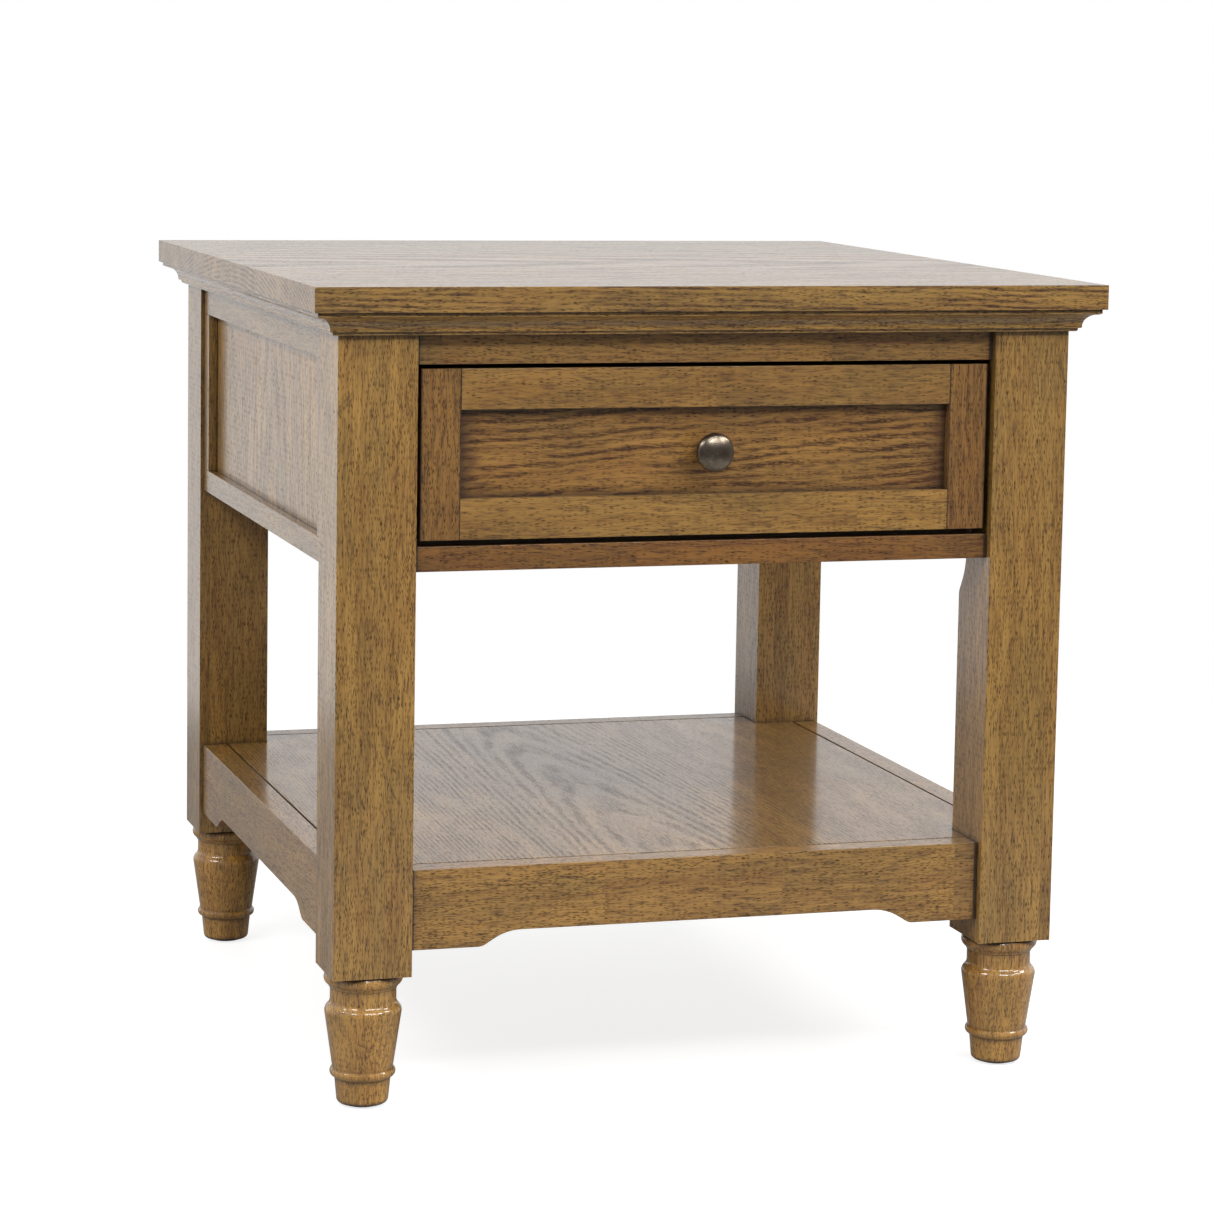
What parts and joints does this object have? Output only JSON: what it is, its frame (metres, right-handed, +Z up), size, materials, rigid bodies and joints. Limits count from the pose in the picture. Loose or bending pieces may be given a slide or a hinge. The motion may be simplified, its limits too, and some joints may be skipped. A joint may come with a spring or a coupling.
{
  "type": "side table with drawer",
  "caption": "Square wooden side table with a moulded top, a framed drawer on slides, an arched apron shelf and turned feet.",
  "frame": {"origin": "on the floor, under the middle of the top", "axes": "+X to the right seen from the front, the drawer opens towards -Y, +Z up"},
  "size_m": [0.61, 0.627, 0.6085],
  "materials": {
    "finished_wood": "golden brown stain under clear satin lacquer, dark pores and glaze in the seams",
    "turned_wood": "golden brown stain under clear gloss lacquer, dark flecks",
    "inside_wood": "plain pale wood under thin clear lacquer",
    "antique_bronze": "antiqued dark bronze, polished by hand",
    "zinc_steel": "bright zinc plate",
    "nylon": "matte moulded nylon"
  },
  "bodies": {
    "case": {"table_top": "finished_wood", "cornice_front": "finished_wood", "cornice_back": "finished_wood", "cornice_left": "finished_wood", "cornice_right": "finished_wood", "leg_front_left": "finished_wood", "leg_front_right": "finished_wood", "leg_back_left": "finished_wood", "leg_back_right": "finished_wood", "foot_front_left": "turned_wood", "foot_front_right": "turned_wood", "foot_back_left": "turned_wood", "foot_back_right": "turned_wood", "foot_dowels": "inside_wood", "foot_glides": "nylon", "front_top_rail": "finished_wood", "front_bottom_rail": "finished_wood", "side_top_rail_left": "finished_wood", "side_top_rail_right": "finished_wood", "side_bottom_rail_left": "finished_wood", "side_bottom_rail_right": "finished_wood", "side_stiles": "finished_wood", "side_panel_left": "finished_wood", "side_panel_right": "finished_wood", "back_top_rail": "finished_wood", "back_bottom_rail": "finished_wood", "back_stiles": "finished_wood", "back_panel": "finished_wood", "dust_panel": "inside_wood", "apron_front": "finished_wood", "apron_back": "finished_wood", "apron_left": "finished_wood", "apron_right": "finished_wood", "shelf_panel": "finished_wood", "shelf_cleats": "inside_wood", "upper_corner_blocks": "inside_wood", "lower_corner_blocks": "inside_wood", "hanger_bolts": "zinc_steel", "washers": "zinc_steel", "hex_nuts": "zinc_steel", "top_screws": "zinc_steel", "slide_cabinet_left": "zinc_steel", "slide_cabinet_right": "zinc_steel"},
    "drawer": {"drawer_stile_left": "finished_wood", "drawer_stile_right": "finished_wood", "drawer_rail_top": "finished_wood", "drawer_rail_bottom": "finished_wood", "drawer_panel": "finished_wood", "drawer_side_left": "inside_wood", "drawer_side_right": "inside_wood", "drawer_box_front": "inside_wood", "drawer_box_back": "inside_wood", "drawer_bottom": "inside_wood", "drawer_front_screws": "zinc_steel", "knob": "antique_bronze", "knob_screw": "zinc_steel", "slide_drawer_left": "zinc_steel", "slide_drawer_right": "zinc_steel"},
    "middle_left": {"slide_middle_left": "zinc_steel"},
    "middle_right": {"slide_middle_right": "zinc_steel"}
  },
  "joints": [
    {"name": "drawer_slide", "type": "slide", "parent": "case", "child": "drawer", "axis": [0, -1, 0], "range_m": [0, 0.45]},
    {"name": "middle_left_slide", "type": "slide", "parent": "case", "child": "middle_left", "axis": [0, -1, 0], "range_m": [0, 0.225]},
    {"name": "middle_right_slide", "type": "slide", "parent": "case", "child": "middle_right", "axis": [0, -1, 0], "range_m": [0, 0.225]}
  ],
  "couplings": [
    {"joint": "middle_left_slide", "follows": "drawer_slide", "ratio": 0.5},
    {"joint": "middle_right_slide", "follows": "drawer_slide", "ratio": 0.5}
  ]
}
